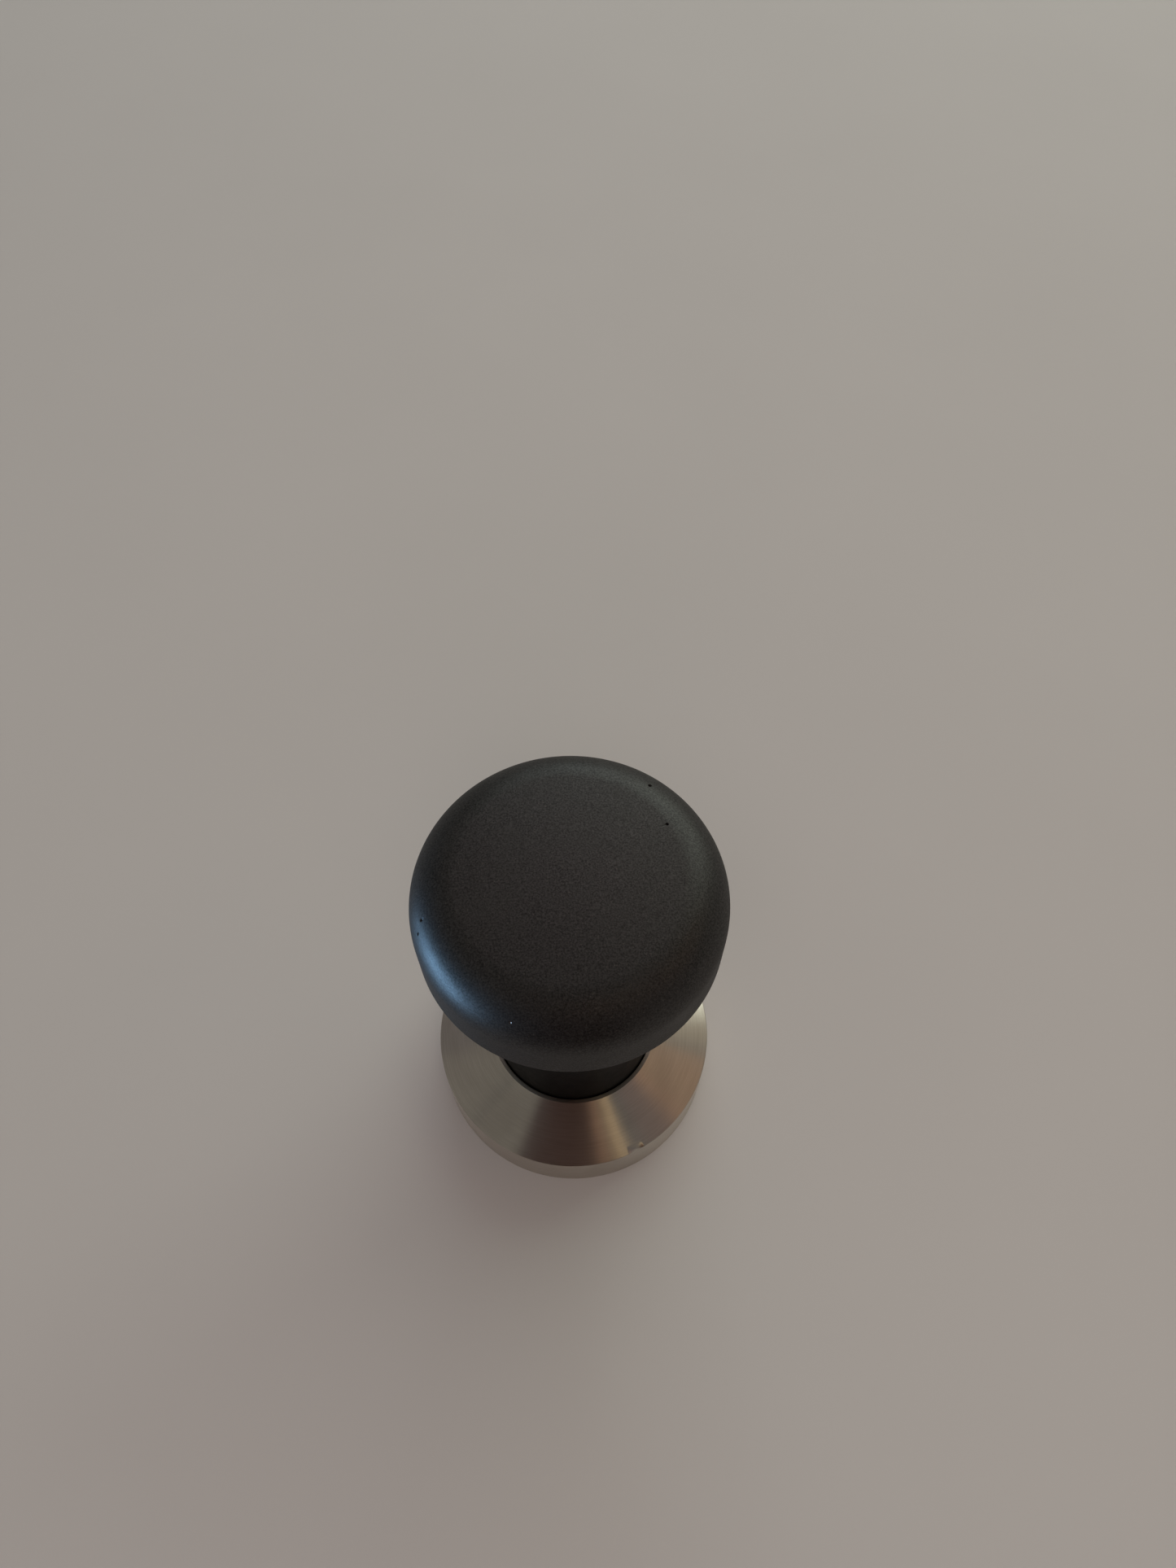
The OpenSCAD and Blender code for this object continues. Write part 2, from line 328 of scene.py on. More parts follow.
def lathe_place(tree, across, along):
    """The point as (radius x across, angle x along, height x across), for marks left by turning."""
    x, y, z = node(tree, "ShaderNodeSeparateXYZ", {"Vector": place(tree)}).outputs
    flat = node(tree, "ShaderNodeCombineXYZ", {"X": x, "Y": y}).outputs["Vector"]
    r = node(tree, "ShaderNodeVectorMath", {0: flat}, operation="LENGTH").outputs["Value"]
    a = node(tree, "ShaderNodeMath", {0: y, 1: x}, operation="ARCTAN2").outputs["Value"]
    both = node(tree, "ShaderNodeCombineXYZ", {"X": r, "Y": a, "Z": z}).outputs["Vector"]
    inputs = {"Vector": both, "Scale": (across, along, across)}
    return node(tree, "ShaderNodeMapping", inputs).outputs["Vector"]


def noise(tree, vector, scale, detail, rough):
    """Cloudy pattern, about 0 to 1."""
    inputs = {"Vector": vector, "Scale": scale, "Detail": detail, "Roughness": rough}
    return node(tree, "ShaderNodeTexNoise", inputs).outputs["Fac"]


def spread(tree, value, low, high, out_low, out_high):
    """The value mapped from one span to another, held inside it."""
    inputs = {"Value": value, "From Min": low, "From Max": high, "To Min": out_low, "To Max": out_high}
    return node(tree, "ShaderNodeMapRange", inputs).outputs["Result"]


def blend(tree, factor, a, b):
    """A colour between a and b."""
    inputs = {"Factor": factor, 6: a, 7: b}
    return node(tree, "ShaderNodeMix", inputs, data_type="RGBA").outputs[2]


def product(tree, a, b):
    """Two values multiplied."""
    return node(tree, "ShaderNodeMath", {0: a, 1: b}, operation="MULTIPLY").outputs["Value"]


def bump(tree, height, distance, strength=1.0, normal=None):
    """Surface tilt from a height pattern, its depth in metres."""
    inputs = {"Height": height, "Distance": distance, "Strength": strength}
    if normal:
        inputs["Normal"] = normal
    return node(tree, "ShaderNodeBump", inputs).outputs["Normal"]


def feed(tree, shader, **links):
    """Link sockets to the shader's inputs; spaces in their names are written as underscores."""
    for key, socket in links.items():
        tree.links.new(socket, shader.inputs[key.replace("_", " ")])


# ---------------------------------------------------------------- finishes

def turned_steel():
    """Stainless steel off the lathe: fine rings, a satin sheen across them, a few smudges."""
    finish, tree, shader = blank("turned_steel")
    rings = noise(tree, lathe_place(tree, 1.0, 0.0), 5200, 2.0, 0.6)
    broad = noise(tree, lathe_place(tree, 1.0, 0.0), 900, 2.0, 0.5)
    streaks = noise(tree, lathe_place(tree, 1.0, 0.0009), 3500, 3.0, 0.6)
    smudge = noise(tree, place(tree), 95, 1.0, 0.5)
    line = spread(tree, streaks, 0.35, 0.65, 0, 1)
    stain = spread(tree, smudge, 0.5, 0.72, 0, 0.35)
    tone = blend(tree, line, (0.59, 0.55, 0.49, 1), (0.66, 0.62, 0.56, 1))
    tone = blend(tree, stain, tone, (0.47, 0.43, 0.38, 1))
    shader.inputs["Metallic"].default_value = 1.0
    shader.inputs["Anisotropic"].default_value = 0.92
    shader.inputs["Anisotropic Rotation"].default_value = 0.25
    tangent = node(tree, "ShaderNodeTangent", direction_type="RADIAL", axis="Z").outputs["Tangent"]
    tilt = bump(tree, broad, 0.004 * MM, 0.5)
    feed(
        tree, shader, Base_Color=tone, Tangent=tangent,
        Roughness=spread(tree, smudge, 0.3, 0.75, 0.28, 0.31),
        Normal=bump(tree, rings, 0.0015 * MM, 0.6, tilt),
    )
    return finish


def bright_steel():
    """Plain machined steel of the inner pieces."""
    finish, tree, shader = blank("bright_steel")
    rings = noise(tree, lathe_place(tree, 1.0, 0.0), 4200, 2.0, 0.6)
    cloud = noise(tree, place(tree), 260, 3.0, 0.5)
    shader.inputs["Metallic"].default_value = 1.0
    shader.inputs["Anisotropic"].default_value = 0.5
    shader.inputs["Anisotropic Rotation"].default_value = 0.25
    tangent = node(tree, "ShaderNodeTangent", direction_type="RADIAL", axis="Z").outputs["Tangent"]
    feed(
        tree, shader, Tangent=tangent,
        Base_Color=blend(tree, cloud, (0.52, 0.52, 0.51, 1), (0.64, 0.64, 0.63, 1)),
        Roughness=spread(tree, cloud, 0.3, 0.7, 0.24, 0.36),
        Normal=bump(tree, rings, 0.003 * MM),
    )
    return finish


def black_steel():
    """Black oxide on the screws, slightly brown where it's thin."""
    finish, tree, shader = blank("black_steel")
    cloud = noise(tree, place(tree), 900, 3.0, 0.6)
    grain = noise(tree, place(tree), 6000, 2.0, 0.5)
    shader.inputs["Metallic"].default_value = 1.0
    feed(
        tree, shader,
        Base_Color=blend(tree, cloud, (0.035, 0.035, 0.037, 1), (0.075, 0.068, 0.062, 1)),
        Roughness=spread(tree, cloud, 0.3, 0.7, 0.38, 0.52),
        Normal=bump(tree, grain, 0.006 * MM),
    )
    return finish


def spring_steel():
    """Drawn wire with a thin film of oil."""
    finish, tree, shader = blank("spring_steel")
    cloud = noise(tree, place(tree), 400, 3.0, 0.6)
    draw = noise(tree, lathe_place(tree, 1.0, 0.002), 3000, 2.0, 0.5)
    shader.inputs["Metallic"].default_value = 1.0
    shader.inputs["Coat Weight"].default_value = 0.4
    shader.inputs["Coat Roughness"].default_value = 0.15
    feed(
        tree, shader,
        Base_Color=blend(tree, cloud, (0.22, 0.22, 0.23, 1), (0.38, 0.38, 0.38, 1)),
        Roughness=spread(tree, cloud, 0.3, 0.7, 0.3, 0.42),
        Normal=bump(tree, draw, 0.006 * MM),
    )
    return finish


def bush_bronze():
    """Sintered bronze: open grain, oil-soaked."""
    finish, tree, shader = blank("bush_bronze")
    grain = noise(tree, place(tree), 5200, 3.0, 0.7)
    cloud = noise(tree, place(tree), 350, 2.0, 0.5)
    shader.inputs["Metallic"].default_value = 1.0
    feed(
        tree, shader,
        Base_Color=blend(tree, product(tree, grain, cloud), (0.60, 0.43, 0.24, 1), (0.36, 0.24, 0.13, 1)),
        Roughness=spread(tree, grain, 0.3, 0.7, 0.35, 0.55),
        Normal=bump(tree, grain, 0.012 * MM),
    )
    return finish


def acetal():
    """Off-white turned acetal."""
    finish, tree, shader = blank("acetal")
    rings = noise(tree, lathe_place(tree, 1.0, 0.0), 4500, 2.0, 0.6)
    cloud = noise(tree, place(tree), 300, 2.0, 0.5)
    feed(
        tree, shader,
        Base_Color=blend(tree, cloud, (0.76, 0.74, 0.68, 1), (0.82, 0.80, 0.74, 1)),
        Roughness=spread(tree, cloud, 0.3, 0.7, 0.42, 0.55),
        Normal=bump(tree, rings, 0.004 * MM),
    )
    return finish


def black_rubber():
    """Matt moulded rubber."""
    finish, tree, shader = blank("black_rubber")
    grain = noise(tree, place(tree), 4000, 3.0, 0.6)
    cloud = noise(tree, place(tree), 300, 3.0, 0.6)
    feed(
        tree, shader,
        Base_Color=blend(tree, cloud, (0.014, 0.014, 0.014, 1), (0.032, 0.031, 0.030, 1)),
        Roughness=spread(tree, cloud, 0.3, 0.7, 0.7, 0.85),
        Normal=bump(tree, grain, 0.01 * MM),
    )
    return finish


def black_neck():
    """Fine matt black anodising over turned aluminium."""
    finish, tree, shader = blank("black_neck")
    rings = noise(tree, lathe_place(tree, 1.0, 0.0), 4800, 2.0, 0.6)
    cloud = noise(tree, place(tree), 240, 3.0, 0.6)
    grain = noise(tree, place(tree), 7000, 2.0, 0.5)
    shader.inputs["Specular IOR Level"].default_value = 0.12
    tilt = bump(tree, rings, 0.002 * MM)
    feed(
        tree, shader,
        Base_Color=blend(tree, cloud, (0.004, 0.004, 0.004, 1), (0.007, 0.0068, 0.0066, 1)),
        Roughness=spread(tree, cloud, 0.3, 0.7, 0.46, 0.56),
        Normal=bump(tree, grain, 0.004 * MM, 1.0, tilt),
    )
    return finish


def black_knob():
    """Bead-blasted satin black: fine grain, a few painted glints as bright points in the colour, dulled
    by handling, one chip.
    """
    finish, tree, shader = blank("black_knob")
    grain = noise(tree, place(tree), 3400, 2.0, 0.6)
    cloud = noise(tree, place(tree), 130, 4.0, 0.6)
    cells = node(tree, "ShaderNodeTexVoronoi", {"Vector": place(tree), "Scale": 2600.0})
    chance = node(tree, "ShaderNodeSeparateXYZ", {"Vector": cells.outputs["Color"]}).outputs["X"]
    # Painted glints: a few cells of the grain lightened in the base colour, standing in for sparkle of
    # light off the surface
    few = spread(tree, chance, 0.965, 0.975, 0, 1)
    painted_glint = product(tree, few, spread(tree, cells.outputs["Distance"], 0.1, 0.4, 1, 0))
    mottle = spread(tree, grain, 0.32, 0.68, 0, 1)
    tone = blend(tree, mottle, (0.011, 0.0105, 0.010, 1), (0.051, 0.050, 0.049, 1))
    tone = blend(tree, spread(tree, cloud, 0.45, 0.7, 0, 0.4), tone, (0.042, 0.040, 0.038, 1))
    tone = blend(tree, painted_glint, tone, (0.12, 0.11, 0.10, 1))
    ends = {0: place(tree), 1: CHIP}
    away = node(tree, "ShaderNodeVectorMath", ends, operation="DISTANCE").outputs["Value"]
    bare = spread(tree, away, CHIP_R, CHIP_FADE_R, 1, 0)
    dull = spread(tree, cloud, 0.3, 0.7, 0.41, 0.48)
    tilt = bump(tree, grain, 0.008 * MM)
    shader.inputs["Specular IOR Level"].default_value = 0.27
    tone = blend(tree, bare, tone, (0.5, 0.5, 0.5, 1))
    feed(tree, shader, Base_Color=tone, Roughness=dull, Normal=tilt)
    sheen = blend(tree, mottle, (0.032, 0.0315, 0.031, 1), (0.084, 0.083, 0.082, 1))
    sheen = blend(tree, bare, sheen, (0.8, 0.8, 0.8, 1))
    gloss = node(tree, "ShaderNodeBsdfAnisotropic", {"Color": sheen, "Roughness": dull, "Normal": tilt})
    both = {0: 0.5, 1: shader.outputs["BSDF"], 2: gloss.outputs["BSDF"]}
    mixed = node(tree, "ShaderNodeMixShader", both).outputs["Shader"]
    tree.links.new(mixed, tree.nodes["Material Output"].inputs["Surface"])
    return finish


def paper():
    """Pale matt paper with a faint fibre."""
    finish, tree, shader = blank("paper")
    fibre = noise(tree, place(tree), 900, 4.0, 0.7)
    cloud = noise(tree, place(tree), 14, 3.0, 0.5)
    shader.inputs["Specular IOR Level"].default_value = 0.0
    shader.inputs["Roughness"].default_value = 0.9
    feed(
        tree, shader,
        Base_Color=blend(tree, cloud, (0.685, 0.668, 0.660, 1), (0.715, 0.698, 0.690, 1)),
        Normal=bump(tree, fibre, 0.02 * MM, 0.5),
    )
    return finish


def dark_cloth():
    """Dark brown cloth of the reflected cards."""
    finish, tree, shader = blank("dark_cloth")
    weave = noise(tree, place(tree), 300, 3.0, 0.6)
    shader.inputs["Roughness"].default_value = 0.9
    feed(tree, shader, Base_Color=blend(tree, weave, (0.065, 0.024, 0.017, 1), (0.090, 0.036, 0.026, 1)))
    return finish


# ---------------------------------------------------------------- pieces

def nick(verts, middle, half):
    """Press a small dent into the edge between rim and cone, its middle and half width as angles."""
    r, a = polar(verts)
    along = np.clip(1 - (np.mod(a - middle + math.pi, TURN) - math.pi) ** 2 / half ** 2, 0, 1)
    down = np.hypot(r - BASE_R, verts[:, 2] - RIM_H)
    amount = NICK_DEPTH * along * np.clip(1 - down / NICK_REACH, 0, 1)
    inward, downward = 0.6, 0.8
    verts[:, 0] -= amount * np.cos(a) * inward
    verts[:, 1] -= amount * np.sin(a) * inward
    verts[:, 2] -= amount * downward


def base_piece():
    """Steel base: face, upright rim, cone, land, and the socket with its groove, boss and stud hole."""
    groove_low, groove_high = WIPER_Z - WIPER_GROOVE_HALF, WIPER_Z + WIPER_GROOVE_HALF
    line = outline([
        (0, 0), (BASE_R, 0, 0.5 * MM), (BASE_R, RIM_H, 0.22 * MM),
        (LAND_R, LAND_Z, 0.12 * MM), (SOCKET_R, LAND_Z, 0.12 * MM),
        (SOCKET_R, groove_high, 0.05 * MM), (WIPER_GROOVE_R, groove_high, 0.05 * MM),
        (WIPER_GROOVE_R, groove_low, 0.05 * MM), (SOCKET_R, groove_low, 0.05 * MM),
        (SOCKET_R, SOCKET_Z, 0.3 * MM), (BOSS_R, SOCKET_Z, 0.3 * MM), (BOSS_R, BOSS_Z, 0.3 * MM),
        (STUD_R, BOSS_Z, 0.3 * MM), (STUD_R, STUD_HOLE_Z, 0.1 * MM), (0, STUD_HOLE_Z),
    ], step=0.8 * MM, hold=0.12 * MM)
    middle = math.radians((NICK_FROM + NICK_TO) / 2 - 90)
    half = math.radians((NICK_TO - NICK_FROM) / 2)
    verts, faces = spun(line, closer(even(256), middle % TURN, 1.4 * half, half / 16))
    nick(verts, middle, half)
    return solid("base_turned", verts, faces)


def sleeve_piece():
    """Neck: plain tube, groove for the wear ring, and at the top a wider bore and the knob's thread."""
    groove_low, groove_high = WEAR_Z - THREAD_GAP, WEAR_TOP_Z + THREAD_GAP
    line = outline([
        (SLEEVE_BORE_R, FOOT_Z), (NECK_R, FOOT_Z, 0.3 * MM),
        (NECK_R, groove_low, 0.05 * MM), (WEAR_GROOVE_R, groove_low, 0.05 * MM),
        (WEAR_GROOVE_R, groove_high, 0.05 * MM), (NECK_R, groove_high, 0.05 * MM),
        (NECK_R, COLLAR_Z, 0.3 * MM), (KNOB_THREAD_R, COLLAR_Z, 0.1 * MM),
        (KNOB_THREAD_R, SLEEVE_TOP_Z, 0.3 * MM), (NUT_THREAD_R, SLEEVE_TOP_Z, 0.3 * MM),
        (NUT_THREAD_R, NUT_THREAD_Z, 0.1 * MM), (SLEEVE_BORE_R, NUT_THREAD_Z, 0.1 * MM),
    ], step=0.25 * MM)
    verts, faces = spun(line, even(160))
    thread(verts, KNOB_THREAD_R, 1.5 * MM, COLLAR_Z + 1 * MM, SLEEVE_TOP_Z)
    return solid("neck_sleeve_turned", verts, faces)


def knob_edge():
    """Radius and height of the middle of the knob's rounded edge, which meets the crown smoothly."""
    edge_r = KNOB_R - KNOB_EDGE_R
    return edge_r, CROWN_Z - CROWN_R + math.sqrt((CROWN_R - KNOB_EDGE_R) ** 2 - edge_r ** 2)


def knob_line():
    """Half section of the knob, from the crown down the outside and back up the inside."""
    edge_r, edge_z = knob_edge()
    lean = math.degrees(math.asin(edge_r / (CROWN_R - KNOB_EDGE_R)))
    bore = KNOB_THREAD_R + THREAD_GAP
    marks = [90 - tilt for azimuth, tilt, length, width, depth in PITS]
    return outline(
        arc(0, CROWN_Z - CROWN_R, CROWN_R, 90, 90 - lean, 30)[1:]
        + arc(edge_r, edge_z, KNOB_EDGE_R, 90 - lean, 0, 40, marks)[1:]
        + [(KNOB_R, KNOB_LOW_Z, 0.35 * MM)]
        + arc(COLLAR_R + UNDERSIDE_R, KNOB_LOW_Z - UNDERSIDE_R, UNDERSIDE_R, 90, 180, 20)
        + [
            (COLLAR_R, COLLAR_Z, 0.2 * MM), (SEAL_POCKET_R, COLLAR_Z, 0.1 * MM),
            (SEAL_POCKET_R, SEAL_POCKET_Z, 0.1 * MM), (bore, SEAL_POCKET_Z, 0.2 * MM),
            (bore, CHAMBER_FLOOR_Z, 0.1 * MM), (CHAMBER_R, CHAMBER_FLOOR_Z, 0.2 * MM),
            (CHAMBER_R, CHAMBER_Z, 0.3 * MM), (0, CHAMBER_Z), (0, CROWN_Z),
        ],
        step=0.6 * MM,
    )


def pit(verts, azimuth, tilt, length, width, depth):
    """Press a small hollow into the knob's rounded edge; a negative depth raises it."""
    a, t = math.radians(azimuth - 90), math.radians(tilt)
    edge_r, edge_z = knob_edge()
    out = np.array([math.cos(a) * math.sin(t), math.sin(a) * math.sin(t), math.cos(t)])
    middle = np.array([edge_r * math.cos(a), edge_r * math.sin(a), edge_z]) + KNOB_EDGE_R * out
    round_way = np.array([-math.sin(a), math.cos(a), 0])
    up_way = np.cross(out, round_way)
    away = verts - middle
    near = (away @ round_way / (length / 2)) ** 2 + (away @ up_way / (width / 2)) ** 2
    near += (away @ out / MM) ** 2
    steepness = 0.7
    verts -= depth * (np.clip(1 - near, 0, 1) ** steepness)[:, None] * out


def laid_back(verts, start_y):
    """Vertices of a shape turned about Z, laid along Y instead on the lock screw's axis."""
    return np.stack([verts[:, 0], start_y + verts[:, 2], GRUB_Z - verts[:, 1]], axis=1)


def knob_piece():
    """Palm knob with the small marks of use in its surface and the hole for its lock screw."""
    angles = even(288)
    reach, step = math.radians(1.2), math.radians(0.15)
    for azimuth, tilt, length, width, depth in PITS:
        angles = closer(angles, math.radians(azimuth - 90) % TURN, reach, step)
    verts, faces = spun(knob_line(), angles)
    for mark in PITS:
        pit(verts, *mark)
    piece = solid("knob_turned", verts, faces)
    deep = GRUB_HOLE_TO_Y - GRUB_HOLE_FROM_Y
    line = outline([(0, 0), (GRUB_HOLE_R, 0), (GRUB_HOLE_R, deep), (0, deep)], step=1 * MM)
    drill, sides = spun(line, even(64))
    carve(piece, laid_back(drill, GRUB_HOLE_FROM_Y), sides)
    return piece


def spring_piece():
    """Compression spring: round wire, closed ground ends."""
    sides, steps = 16, 48
    lift = 0.1 * MM  # middle of the wire above the ground end
    closed = 2.7 * MM  # pitch of the two end coils
    coil_r = SPRING_R - WIRE_R
    open_pitch = (SPRING_TOP_Z - SPRING_Z - 2 * lift - 2 * closed) / (TURNS - 2)
    verts = []
    for i in range(TURNS * steps + 1):
        t = i / steps
        rise = lift + closed * min(t, 1) + open_pitch * max(0, min(t, TURNS - 1) - 1)
        rise += closed * max(0, t - TURNS + 1)
        for s in range(sides):
            r = coil_r + WIRE_R * math.cos(TURN * s / sides)
            z = SPRING_Z + rise + WIRE_R * math.sin(TURN * s / sides)
            z = min(max(z, SPRING_Z), SPRING_TOP_Z)
            verts.append((r * math.cos(TURN * t), r * math.sin(TURN * t), z))
    faces = []
    for first in range(0, TURNS * steps * sides, sides):
        for s in range(sides):
            after = (s + 1) % sides
            faces.append([first + s, first + sides + s, first + sides + after, first + after])
    faces.append(list(range(sides)))
    faces.append([TURNS * steps * sides + s for s in reversed(range(sides))])
    return solid("spring_wire", verts, faces)


def retaining_screw_piece():
    """Socket head cap screw with a knurled head."""
    shank_r, socket_r, socket_depth = 2.5 * MM - THREAD_GAP, 2 * MM, 2.5 * MM
    top, head_r, head_z = SCREW_TOP_Z, SCREW_HEAD_R, SCREW_TOP_Z - 5 * MM
    socket_z = top - socket_depth
    line = outline([
        (0, SCREW_TIP_Z), (shank_r, SCREW_TIP_Z, 0.4 * MM), (shank_r, head_z, 0.1 * MM),
        (head_r, head_z, 0.15 * MM), (head_r, top, 0.5 * MM),
        (socket_r, top, 0.1 * MM), (socket_r, socket_z, 0.1 * MM), (0, socket_z),
    ], step=0.1 * MM, hold=0.05 * MM)
    verts, faces = spun(line, even(180))
    hexagon(verts, 2 * socket_r, socket_z - 0.1 * MM, top - 0.05 * MM, 0.1 * MM, socket_r + 0.05 * MM)
    thread(verts, shank_r, 0.8 * MM, SCREW_TIP_Z, head_z - 1 * MM, 0.05 * MM)
    r, a = polar(verts)
    side = (r > head_r - 0.02 * MM) & (verts[:, 2] > head_z + 0.3 * MM)
    ridges, ridge_half = 45, 0.05 * MM
    set_radius(verts, side, r - ridge_half * (1 + np.cos(ridges * a)))
    return solid("retaining_screw_turned", verts, faces)


def lock_screw_piece():
    """Grub screw in the back of the collar, its socket facing out."""
    length, socket_r = GRUB_TO_Y - GRUB_FROM_Y, 0.75 * MM
    socket_z = length - 1.4 * MM
    line = outline([
        (0, 0), (GRUB_R, 0, 0.25 * MM), (GRUB_R, length, 0.25 * MM),
        (socket_r, length, 0.08 * MM), (socket_r, socket_z, 0.05 * MM), (0, socket_z),
    ], step=0.08 * MM, hold=0.04 * MM)
    verts, faces = spun(line, even(96))
    hexagon(verts, 2 * socket_r, socket_z - 0.05 * MM, length - 0.03 * MM, 0.05 * MM, 1.03 * socket_r)
    thread(verts, GRUB_R, 0.5 * MM, 0, length, 0.05 * MM)
    return solid("knob_lock_screw_turned", laid_back(verts, GRUB_FROM_Y), faces)


def post_piece():
    """Post: threaded stud, hexagon, ground shaft, hole for the retaining screw."""
    hex_z, flats, shaft_r = BOSS_Z + 3.5 * MM, 17 * MM, 5 * MM
    points = flats / 2 / math.cos(TURN / 12)
    stud, tap, tap_z = STUD_R - THREAD_GAP, 2.5 * MM, POST_TOP_Z - 12 * MM
    line = outline([
        (0, POST_Z), (stud, POST_Z, 0.3 * MM), (stud, BOSS_Z, 0.05 * MM), (points - 0.6 * MM, BOSS_Z, 0),
        (points, BOSS_Z + 0.4 * MM, 0), (points, hex_z - 0.4 * MM, 0), (points - 0.6 * MM, hex_z, 0),
        (shaft_r, hex_z, 0.1 * MM), (shaft_r, POST_TOP_Z, 0.3 * MM), (tap, POST_TOP_Z, 0.2 * MM),
        (tap, tap_z, 0.1 * MM), (0, tap_z),
    ], step=0.2 * MM, hold=0.1 * MM)
    verts, faces = spun(line, even(144))
    hexagon(verts, flats, BOSS_Z - 0.01 * MM, hex_z + 0.01 * MM, flats / 2, 2 * flats)
    thread(verts, stud, 1.25 * MM, POST_Z, BOSS_Z - 1 * MM, 0.05 * MM)
    return solid("post_turned", verts, faces)


def coat(piece, finish):
    """Give a piece one finish and no other."""
    piece.data.materials.clear()
    piece.data.materials.append(finish)


def dress(piece, finish, body, stands_for):
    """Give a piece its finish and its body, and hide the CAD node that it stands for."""
    coat(piece, finish)
    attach(piece, body)
    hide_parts(stands_for)


def build():
    """Every piece of the tamper."""
    steel, inner, black = turned_steel(), bright_steel(), black_steel()
    plastic, rubber = acetal(), black_rubber()
    spring = spring_piece()
    dress(base_piece(), steel, "base", "base")
    dress(post_piece(), inner, "base", "post")
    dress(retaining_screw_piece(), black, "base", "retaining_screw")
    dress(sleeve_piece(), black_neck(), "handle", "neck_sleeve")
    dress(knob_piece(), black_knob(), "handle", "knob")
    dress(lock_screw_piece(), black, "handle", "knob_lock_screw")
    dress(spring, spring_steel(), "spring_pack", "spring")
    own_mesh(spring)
    shown_as_they_are = [
        (inner, ["retaining_washer", "lock_washer", "spring_seat_lower", "spring_seat_upper"]),
        (inner, ["preload_nut", "preload_lock_ring"]),
        (plastic, ["thrust_washer", "wear_ring"]),
        (rubber, ["bump_ring", "wiper_ring", "rebound_washer", "knob_seal_ring"]),
        (bush_bronze(), ["guide_bush"]),
    ]
    for finish, names in shown_as_they_are:
        for name in names:
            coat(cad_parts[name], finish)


# ---------------------------------------------------------------- floor, light, camera

def floor():
    """Large flat round sheet of pale paper."""
    sides, rings, small, large = 96, 12, 0.1, 6.0
    radii = [small * (large / small) ** (k / (rings - 1)) for k in range(rings)]
    verts = [(r * math.cos(a), r * math.sin(a), 0) for r in radii for a in even(sides)]
    faces = [list(range(sides))]
    for k in range(rings - 1):
        for i in range(sides):
            j = (i + 1) % sides
            faces.append([k * sides + i, (k + 1) * sides + i, (k + 1) * sides + j, k * sides + j])
    mesh = bpy.data.meshes.new("floor")
    mesh.from_pydata(verts, [], faces)
    sheet = bpy.data.objects.new("floor", mesh)
    bpy.context.scene.collection.objects.link(sheet)
    mesh.materials.append(paper())


def direction(azimuth, elevation):
    """Unit vector towards a place round the tamper."""
    a, e = math.radians(azimuth), math.radians(elevation)
    return Vector((math.sin(a) * math.cos(e), -math.cos(a) * math.cos(e), math.sin(e)))


def softbox(name, azimuth, elevation, distance, width, height, power, colour, shine=True):
    """Rectangular soft lamp aimed at the middle of the tamper, not seen by the camera.

    Without shine it doesn't show in reflections either."""
    aim = Vector((0, 0, 0.05))
    lamp = bpy.data.lights.new(name, "AREA")
    lamp.shape, lamp.size, lamp.size_y = "RECTANGLE", width, height
    lamp.energy, lamp.color = power, colour
    holder = bpy.data.objects.new(name, lamp)
    towards = direction(azimuth, elevation)
    holder.location = aim + distance * towards
    holder.rotation_euler = (-towards).to_track_quat("-Z", "Y").to_euler()
    holder.visible_camera, holder.visible_glossy = False, shine
    bpy.context.scene.collection.objects.link(holder)


def card(name, corners, finish):
    """Flat panel that only shows in reflections.

    A corner is (azimuth, distance from the axis, height)."""
    mesh = bpy.data.meshes.new(name)
    places = [reach * direction(azimuth, 0) + Vector((0, 0, z)) for azimuth, reach, z in corners]
    mesh.from_pydata(places, [], [(0, 1, 2, 3)])
    panel = bpy.data.objects.new(name, mesh)
    mesh.materials.append(finish)
    panel.visible_camera = panel.visible_diffuse = panel.visible_shadow = False
    bpy.context.scene.collection.objects.link(panel)


def daylight(azimuth, distance, height, depth, width, power, colour):
    """Blue patch beside the tamper, lying level and facing up, that only shows in reflections."""
    lamp = bpy.data.lights.new("daylight", "AREA")
    lamp.shape, lamp.size, lamp.size_y = "RECTANGLE", depth, width
    lamp.energy, lamp.color = power, colour
    holder = bpy.data.objects.new("daylight", lamp)
    holder.location = distance * direction(azimuth, 0) + Vector((0, 0, height))
    holder.rotation_euler = (math.pi, 0, math.radians(azimuth - 90))
    holder.visible_camera = holder.visible_diffuse = False
    bpy.context.scene.collection.objects.link(holder)


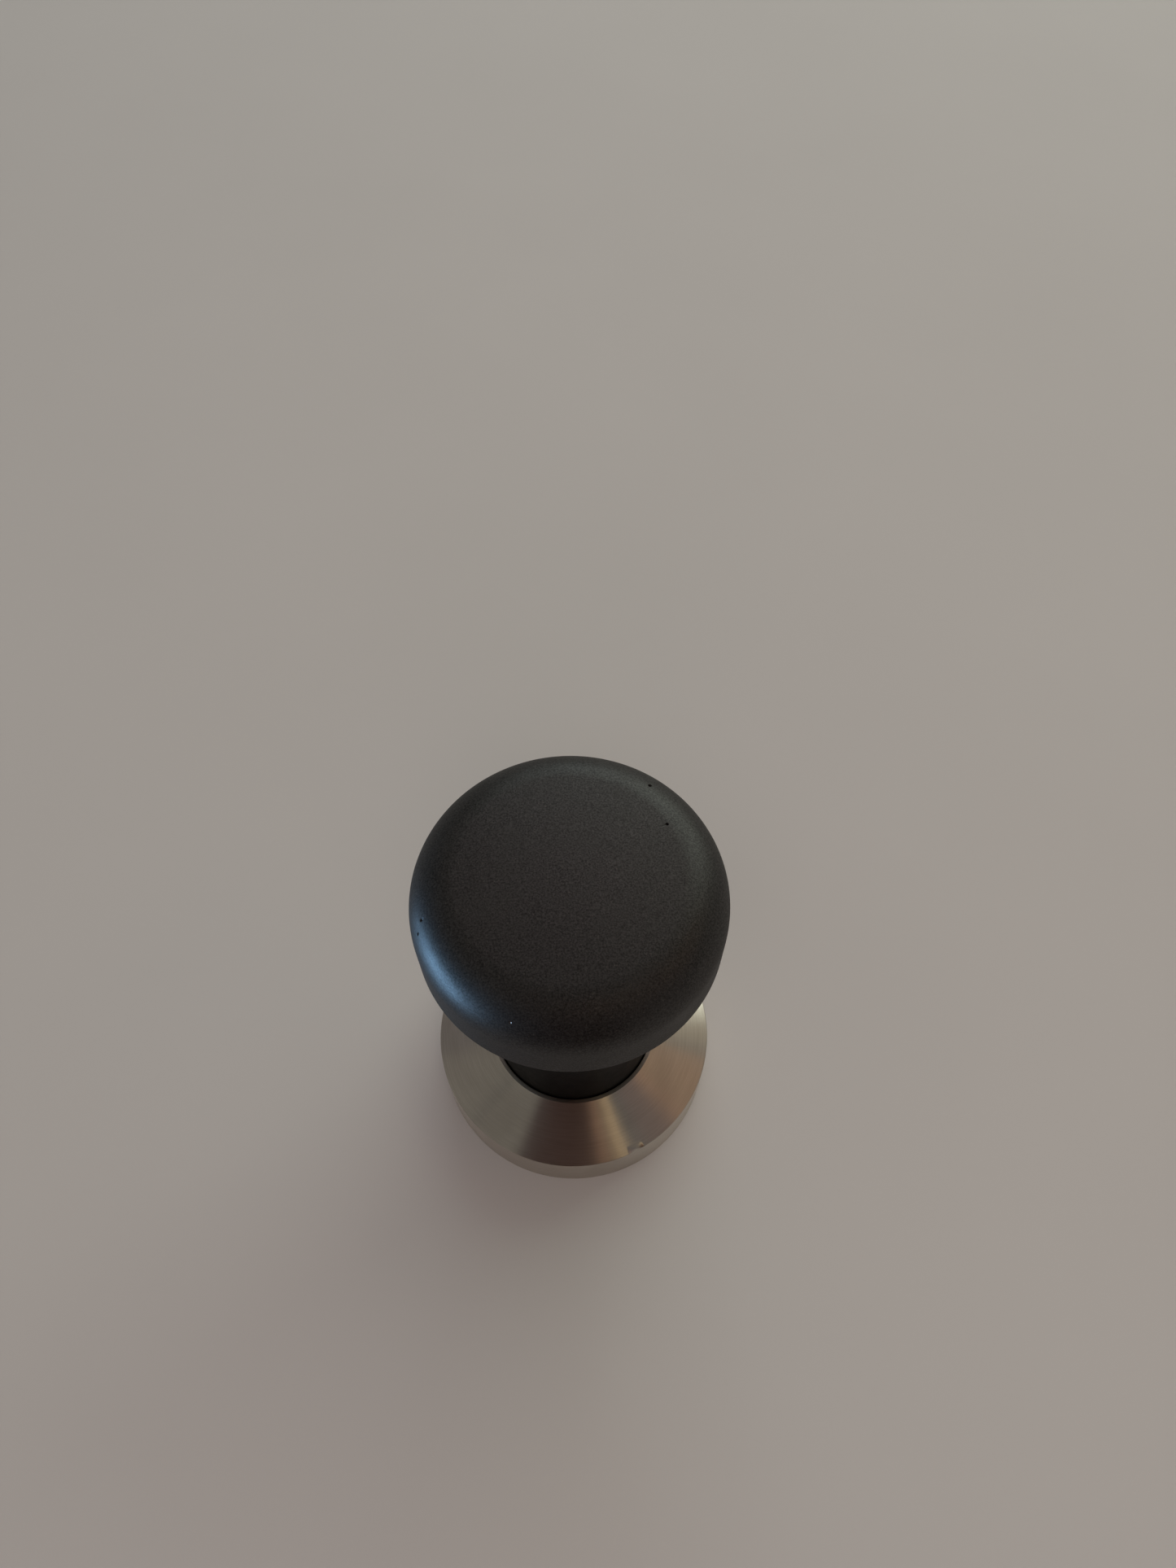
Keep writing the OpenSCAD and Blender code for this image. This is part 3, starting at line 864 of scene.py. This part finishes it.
def light():
    """Even dim room, soft lamps round the tamper, and what shows only in reflections."""
    world = bpy.data.worlds.new("room")
    world.use_nodes = True
    world.node_tree.nodes["Background"].inputs["Color"].default_value = (0.135, 0.129, 0.124, 1)
    bpy.context.scene.world = world
    softbox("back_right", 143, 26, 2.0, 1.70, 1.30, 12.0, (0.92, 1.00, 0.88))
    softbox("back_right_low", 143, 6, 2.0, 1.80, 0.36, 0.6, (1.00, 0.80, 0.60))
    softbox("back_right_top", 138, 58, 1.5, 0.90, 0.60, 0.7, (1.00, 0.86, 0.70))
    softbox("back", 180, 27, 2.0, 0.90, 1.30, 4.8, (0.86, 0.96, 0.93))
    softbox("back_top", 180, 62, 1.5, 0.90, 0.80, 0.9, (1.00, 0.68, 0.76))
    softbox("right_back", 113, 30, 1.0, 0.40, 0.60, 0.15, (1.00, 0.88, 0.55))
    softbox("right", 80, 38, 1.0, 0.50, 0.45, 0.21, (1.00, 0.50, 0.15))
    softbox("right_front", 55, 34, 1.0, 0.40, 0.45, 0.06, (1.00, 0.30, 0.15))
    softbox("strip", 28, 50, 0.9, 0.08, 0.40, 0.09, (1.00, 0.70, 0.35))
    softbox("strip_low", 17, 50, 0.9, 0.04, 0.40, 0.04, (1.00, 0.45, 0.20))
    softbox("front", 0, 30, 1.0, 0.60, 0.30, 0.60, (1.00, 0.80, 0.80), shine=False)
    softbox("front_top", -8, 62, 1.4, 0.80, 0.60, 1.80, (1.00, 0.88, 0.85), shine=False)
    softbox("left_front", -45, 40, 1.0, 0.50, 0.40, 0.09, (1.00, 0.90, 0.68))
    softbox("left", -85, 42, 1.0, 0.50, 0.50, 0.07, (1.00, 0.92, 0.65))
    cloth = dark_cloth()
    card("body_low", [(-34, 0.18, 0), (26, 0.18, 0), (26, 0.18, 0.17), (-34, 0.18, 0.17)], cloth)
    card("body_high", [(-36, 0.36, 0.28), (13, 0.36, 0.28), (13, 0.20, 0.85), (-36, 0.20, 0.85)], cloth)
    daylight(-77, 0.34, 0.018, 0.32, 0.17, 3.5, (0.33, 0.63, 1.00))


def camera():
    """Camera over the front edge, looking steeply down."""
    lens = bpy.data.cameras.new("camera")
    lens.lens, lens.sensor_width = 26.155, 36  # millimetres
    lens.clip_start = 0.01
    eye = bpy.data.objects.new("camera", lens)
    eye.location = (0, -0.0807, 0.2528)
    looks_down, turned = 59.33, -2.18
    eye.rotation_euler = (math.radians(90 - looks_down), 0, math.radians(turned))
    bpy.context.scene.collection.objects.link(eye)
    bpy.context.scene.camera = eye
    bpy.context.scene.view_settings.view_transform = "Standard"


build()
floor()
light()
camera()
